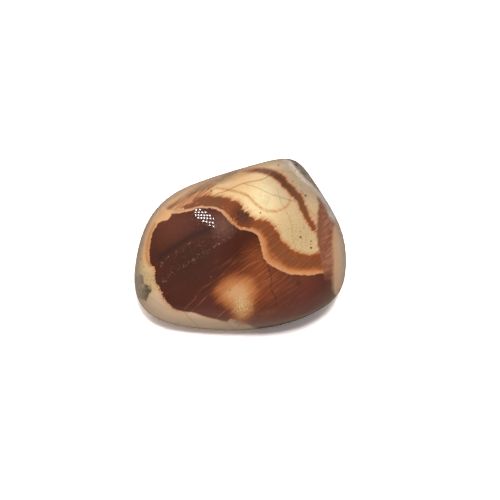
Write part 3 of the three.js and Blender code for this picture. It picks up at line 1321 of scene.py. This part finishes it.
    def corner(self, paint: Wire) -> Wire:
        """Paints the grey corner high on the right, a painted reflection of the shadowed floor behind the
        stone, and a painted near-white highlight on the stone around it.
        """
        c = self.colours
        corner = self.sheet.number("corner") + (self.mottle - 0.5) * 0.4
        near_edge = self.depth.smooth(-4.6, -2.2)
        # Painted highlight: near-white stone along the ridge below the grey corner.
        painted_ridge_highlight = self.up.smooth(10.2, 8.6) * near_edge
        # Painted highlight: a mottled near-white haze around the grey corner.
        halo = corner.smooth(-0.9, 0.0) * self.mottle.smooth(0.25, 0.75) * (0.3 + near_edge * 0.6)
        # The grey corner's painted reflection, with painted near-white streaks near the edge.
        dark = self.over(
            c.corner,
            (c.beige, self.cloud.smooth(0.4, 0.6) * 0.45),
            (c.painted_highlight_white, self.mottle.smooth(0.5, 0.68) * near_edge * 0.3),
        )
        return self.over(
            paint,
            (c.painted_highlight_white, halo),
            (c.painted_highlight_white, corner.smooth(-0.9, 0.5) * painted_ridge_highlight * (0.55 + self.cloud * 0.5)),
            (dark, (corner + (self.grit - 0.5) * 0.5).smooth(-0.1, 0.4) * (1.0 - painted_ridge_highlight)),
        )

    def cracks(self, paint: Wire) -> tuple[Wire, Wire]:
        """Paints the olive cracks, the dark crack and the small dark specks.

        Args:
            paint: the colour beneath.

        Returns:
            The colour, and how much each point lies on a crack or a speck.
        """
        c = self.colours
        cracks = self.line(Lines.CRACKS, 0.08, 0.14) * (1.0 - self.on_body)
        broken = (self.grit * 0.6 + self.mottle * 0.4).smooth(0.38, 0.56)
        dark = self.line(Lines.DARK_CRACK, 0.14, 0.18) * broken
        specks = self.spots(Spots.DARK, 0.08)
        paint = self.over(
            paint,
            (c.crack, cracks * 0.8),
            (c.speck, dark * 0.8),
            (c.speck, specks * 0.85),
        )
        return paint, (cracks * 0.5).most(specks).most(dark * 0.3)

    def shade(self, paint: Wire, relief: Wire) -> None:
        """Feeds the colour, gloss and relief to the shader.

        Args:
            paint: the colour of the figure.
            relief: how much each point lies on a crack or a speck.
        """
        finish = self.finish
        grain = 0.87 + self.grain * 0.12 + self.grit * 0.14
        settings = {"operation": "SCALE"}
        grained = self.sheet.add("ShaderNodeVectorMath", settings, {0: paint, "Scale": grain})
        inputs = {
            "Distance": finish.crack_depth,
            "Strength": finish.crack_strength,
            "Height": 1.0 - relief,
        }
        normal = self.sheet.add("ShaderNodeBump", {}, inputs)
        inputs = {
            "Base Color": grained,
            "Roughness": finish.haze_roughness,
            "IOR": finish.refraction,
            "Specular IOR Level": finish.haze,
            "Coat Weight": 1.0 - relief * 0.5,
            "Coat Roughness": finish.roughness,
            "Coat IOR": finish.refraction,
            "Normal": normal,
        }
        shader = self.sheet.add("ShaderNodeBsdfPrincipled", {}, inputs)
        self.sheet.add("ShaderNodeOutputMaterial", {}, {"Surface": shader})


@dataclass(frozen=True)
class Stone:
    """The whole flower jasper, one solid piece."""

    form: TumbledForm
    viewpoint: Viewpoint
    finish: JasperFinish = JasperFinish()
    node: str = "stone"

    def build(self) -> tuple[bpy.types.Object, Array]:
        """Makes the stone with its figure and its finish.

        Returns:
            The stone, and its centre in metres.
        """
        directions, triangles = self.form.ball()
        points = directions * self.form.radius(directions)[:, None]
        low, high = (np.array(corner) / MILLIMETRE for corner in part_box(self.node))
        size = points.max(0) - points.min(0)
        fit = (high - low) / size
        centre = low - points.min(0) * fit
        mesh = bpy.data.meshes.new("flower_jasper")
        mesh.vertices.add(len(points))
        mesh.vertices.foreach_set("co", ((points * fit + centre) * MILLIMETRE).ravel())
        mesh.loops.add(triangles.size)
        mesh.loops.foreach_set("vertex_index", triangles.ravel())
        mesh.polygons.add(len(triangles))
        mesh.polygons.foreach_set("loop_start", np.arange(0, triangles.size, 3))
        mesh.polygons.foreach_set("use_smooth", np.ones(len(triangles), bool))
        mesh.update(calc_edges=True)
        mesh.validate()
        Figure(self.viewpoint).write(mesh, points)
        mesh.materials.append(self.finish.make())
        stone = new_object("flower_jasper", mesh)
        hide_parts(self.node)
        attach(stone, "root")
        return stone, centre * MILLIMETRE


@dataclass(frozen=True)
class LampRow:
    """One row of the lamp's sparks, as the stone mirrors them, in mm right and up of its centre."""

    start: Point
    step: Point
    count: int


@dataclass(frozen=True)
class Softbox:
    """A square soft light: its direction in degrees, distance and side in metres, and power in watts."""

    name: str
    azimuth: float
    elevation: float
    distance: float
    side: float
    power: float


@dataclass(frozen=True)
class Studio:
    """The pale floor and the soft light. Lengths are in metres, but in mm for the lamp and its sparks."""

    viewpoint: Viewpoint
    form: TumbledForm
    floor_side: float = 4.0
    floor_gap: float = 0.00002
    floor_lit: Tone = (0.85, 0.85, 0.85, 1.0)
    floor_mirrored: Tone = (0.14, 0.115, 0.09, 1.0)
    floor_seen: Tone = (1.3, 1.24, 1.23, 1.0)
    sky: Tone = (1.0, 0.94, 0.92, 1.0)
    sky_strength: float = 0.5
    room_mirrored: Tone = (0.18, 0.18, 0.18, 1.0)
    window_mirrored: Tone = (1.2, 1.2, 1.2, 1.0)
    lamp_distance: float = 70.0
    lamp_strength: float = 60.0
    spark_long: float = 0.14
    spark_short: float = 0.08
    spark_slant: float = 0.7
    softboxes: tuple[Softbox, ...] = (
        Softbox("key", 280.0, 69.0, 0.5, 0.09, 3.2),
        Softbox("overhead", 118.0, 58.0, 0.7, 0.5, 2.4),
    )
    lights: tuple[LampRow, ...] = (
        LampRow((-8.0, 6.2), (0.68, 0.08), 2),
        LampRow((-8.1, 5.8), (0.6, 0.0), 4),
        LampRow((-8.1, 5.3), (0.52, -0.02), 6),
        LampRow((-7.6, 4.8), (0.54, -0.03), 6),
        LampRow((-6.7, 4.2), (0.57, -0.09), 4),
        LampRow((-5.6, 3.5), (0.72, -0.23), 2),
    )

    def floor(self) -> None:
        """Lays the pale floor, which shows pale, lights the stone and mirrors dimly in its polish."""
        half = self.floor_side / 2.0
        level = -self.floor_gap
        mesh = bpy.data.meshes.new("floor")
        corners = [(-half, -half, level), (half, -half, level), (half, half, level), (-half, half, level)]
        mesh.from_pydata(corners, [], [(0, 1, 2, 3)])
        material, sheet = new_material("pale_floor")
        mirrored = sheet.add("ShaderNodeLightPath", {}, {}, "Is Glossy Ray")
        seen = sheet.add("ShaderNodeLightPath", {}, {}, "Is Camera Ray")
        tone = sheet.mix(self.floor_lit, self.floor_mirrored, mirrored)
        tone = sheet.mix(tone, self.floor_seen, seen)
        shader = sheet.add("ShaderNodeBsdfDiffuse", {}, {"Color": tone})
        sheet.add("ShaderNodeOutputMaterial", {}, {"Surface": shader})
        mesh.materials.append(material)
        floor = new_object("floor", mesh)

    def softbox(self, box: Softbox) -> None:
        """Adds a soft light that points at the stone and isn't mirrored in its polish."""
        data = bpy.data.lights.new(box.name, "AREA")
        data.shape = "SQUARE"
        data.size = box.side
        data.energy = box.power
        light = new_object(box.name, data)
        around = math.radians(box.azimuth)
        above = math.radians(box.elevation)
        level = box.distance * math.cos(above)
        height = box.distance * math.sin(above)
        light.location = (level * math.cos(around), level * math.sin(around), height)
        light.rotation_euler = (math.radians(90.0 - box.elevation), 0.0, around + math.radians(90.0))
        light.visible_glossy = False

    def lamp(self, centre: Array) -> None:
        """Hangs a lamp of many small sparks where the polish mirrors it high on the body.

        Args:
            centre: the stone's centre in metres.
        """
        eye = self.viewpoint.eye()
        outline = [math.radians(angle) for angle in range(0, 360, 45)]
        seen = []
        for row in self.lights:
            for number in range(row.count):
                right = row.start[0] + row.step[0] * number
                up = row.start[1] + row.step[1] * number
                for angle in outline:
                    long = self.spark_long * math.cos(angle)
                    short = self.spark_short * math.sin(angle)
                    across = self.spark_slant * (long + short)
                    upward = self.spark_slant * (short - long)
                    seen.append((right + across, up + upward))
        rays = self.viewpoint.rays(np.array(seen))
        points, normals = self.form.meet(eye, rays, 60.0)
        mirrored = rays - 2.0 * np.einsum("ij,ij->i", rays, normals)[:, None] * normals
        facing = mirrored.mean(0)
        facing /= np.linalg.norm(facing)
        plane = facing * self.lamp_distance
        reach = ((plane - points) @ facing) / (mirrored @ facing)
        corners = points + mirrored * reach[:, None]
        sides = len(outline)
        faces = [tuple(range(i, i + sides)) for i in range(0, len(corners), sides)]
        mesh = bpy.data.meshes.new("lamp")
        mesh.from_pydata([tuple(p) for p in centre + corners * MILLIMETRE], [], faces)
        material, sheet = new_material("lamp_light")
        shader = sheet.add("ShaderNodeEmission", {}, {"Strength": self.lamp_strength})
        sheet.add("ShaderNodeOutputMaterial", {}, {"Surface": shader})
        mesh.materials.append(material)
        lamp = new_object("lamp", mesh)
        lamp.visible_camera = False
        lamp.visible_diffuse = False
        lamp.visible_shadow = False

    def surroundings(self) -> None:
        """Sets a pale world that lights the stone evenly and mirrors as a dim room with a bright back."""
        world = bpy.data.worlds.new("surroundings")
        bpy.context.scene.world = world
        world.use_nodes = True
        sheet = NodeSheet(world.node_tree)
        path = sheet.add("ShaderNodeLightPath", {}, {}, "Is Glossy Ray")
        _, back, above = sheet.parts(sheet.add("ShaderNodeTexCoord", {}, {}, "Generated"))
        window = back.smooth(0.55, 0.95) * above.smooth(0.05, 0.3)
        room = sheet.mix(self.room_mirrored, self.window_mirrored, window)
        tone = sheet.mix(self.sky, room, path)
        background = sheet.add("ShaderNodeBackground", {}, {"Color": tone, "Strength": self.sky_strength})
        sheet.add("ShaderNodeOutputWorld", {}, {"Surface": background})

    def build(self, centre: Array) -> None:
        """Builds the floor, the lights and the surroundings around the stone's centre, in metres."""
        self.floor()
        for box in self.softboxes:
            self.softbox(box)
        self.lamp(centre)
        self.surroundings()
        bpy.context.scene.view_settings.view_transform = "Standard"


def main() -> None:
    """Builds the stone, the camera and the studio."""
    logging.basicConfig(level=logging.INFO, format="%(message)s")
    form = TumbledForm()
    viewpoint = Viewpoint()
    stone, centre = Stone(form, viewpoint).build()
    LOG.info("%s: %d faces", stone.name, len(stone.data.polygons))
    viewpoint.place_camera(centre)
    Studio(viewpoint, form).build(centre)
    LOG.info("studio: floor, lights and surroundings")


if __name__ == "__main__":
    main()
